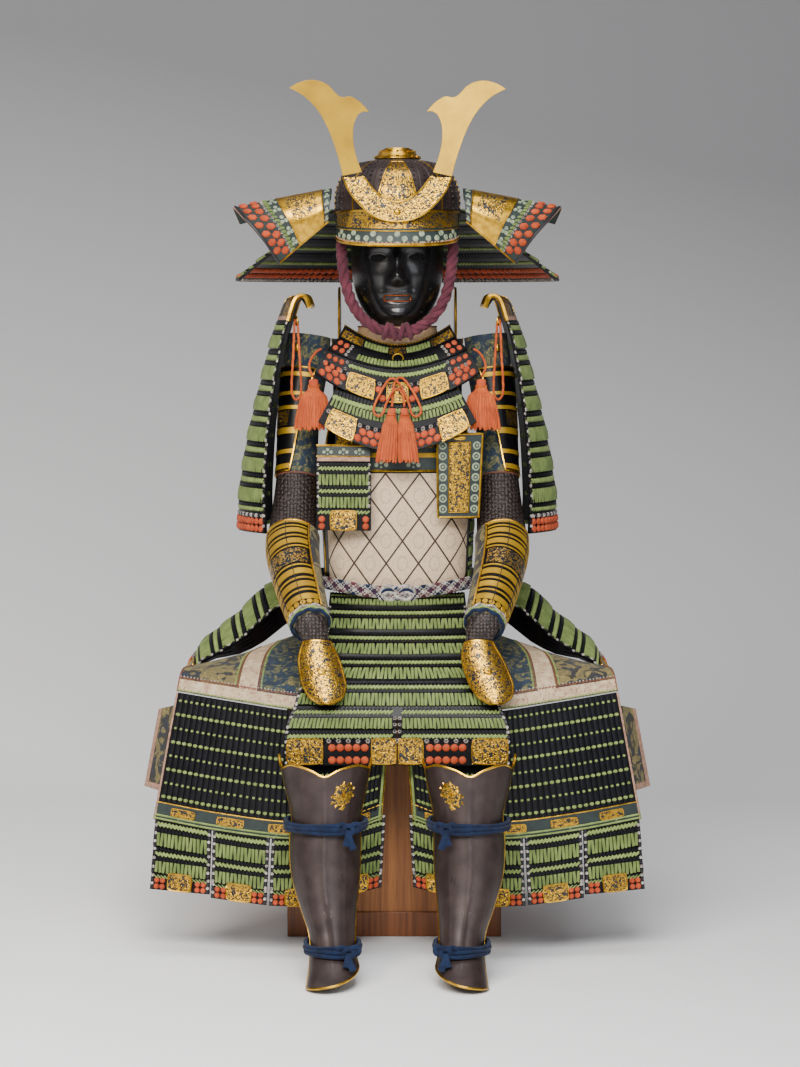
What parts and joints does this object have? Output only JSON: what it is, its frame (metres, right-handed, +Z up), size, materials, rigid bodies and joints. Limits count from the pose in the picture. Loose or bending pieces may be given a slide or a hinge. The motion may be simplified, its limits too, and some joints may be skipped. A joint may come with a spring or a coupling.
{
  "type": "samurai armour set on its storage chest and wooden stand",
  "caption": "Laced plate armour with crested helmet, mask, sleeves, tassets and greaves, set up as if seated on a wooden storage chest round an inner stand.",
  "frame": {"origin": "on the floor under the storage chest, in the plane that halves the cuirass", "axes": "+Z up, the armour faces -Y, and the wearer's left side is at +X"},
  "size_m": [0.952, 0.9573, 1.6298],
  "materials": {
    "wood": "satin oiled wood",
    "black_lacquer": "black lacquer on iron and rawhide",
    "russet_iron": "dark russet lacquered iron",
    "gilt": "gilt copper, satin",
    "green_lacing": "flat silk braid over black lacquered lames",
    "orange_silk": "silk cord and tassel",
    "plum_cloth": "soft twisted cloth cord",
    "printed_leather": "cream leather with a printed lattice",
    "green_leather": "dark green printed leather with gilt edging",
    "brocade": "blue silk brocade",
    "navy_cloth": "soft cotton band"
  },
  "bodies": {
    "root": {"chest": "wood", "stand": "wood", "cuirass_wall": "black_lacquer", "side_plate": "green_leather", "leather_front": "printed_leather", "breast_plate": "black_lacquer", "shoulder_strap_left": "printed_leather", "shoulder_strap_right": "printed_leather", "standing_plate_left": "black_lacquer", "standing_plate_right": "black_lacquer", "laced_panel": "green_lacing", "solid_panel": "green_leather", "waist_cord": "navy_cloth", "throat_guard": "green_lacing", "neck_cloth": "printed_leather", "bow_cord": "orange_silk", "side_cord_left": "orange_silk", "side_cord_right": "orange_silk", "shoulder_cord_left": "orange_silk", "shoulder_cord_right": "orange_silk", "centre_tassel_left": "orange_silk", "centre_tassel_right": "orange_silk", "side_tassel_left": "orange_silk", "side_tassel_right": "orange_silk", "throat_ring": "gilt", "helmet_bowl": "russet_iron", "crown_ring": "gilt", "helmet_brim": "green_leather", "crest_horn_left": "gilt", "crest_horn_right": "gilt", "crest_mount": "gilt", "neck_guard": "green_lacing", "turn_back_left": "gilt", "turn_back_right": "gilt", "face_mask": "black_lacquer", "chin_cord": "plum_cloth", "shoulder_guard_left": "green_lacing", "shoulder_guard_right": "green_lacing", "sleeve_left": "brocade", "sleeve_right": "brocade", "upper_arm_plate_left": "black_lacquer", "upper_arm_plate_right": "black_lacquer", "forearm_plate_left": "black_lacquer", "forearm_plate_right": "black_lacquer", "hand_plate_left": "gilt", "hand_plate_right": "gilt", "front_tasset": "green_lacing", "back_tasset": "green_lacing", "side_tasset_left": "green_lacing", "side_tasset_right": "green_lacing", "thigh_cloth_left": "brocade", "thigh_cloth_right": "brocade", "thigh_panel_left": "black_lacquer", "thigh_panel_right": "black_lacquer", "greave_left": "russet_iron", "greave_right": "russet_iron", "upper_tie_left": "navy_cloth", "upper_tie_right": "navy_cloth", "lower_tie_left": "navy_cloth", "lower_tie_right": "navy_cloth"}
  },
  "joints": []
}
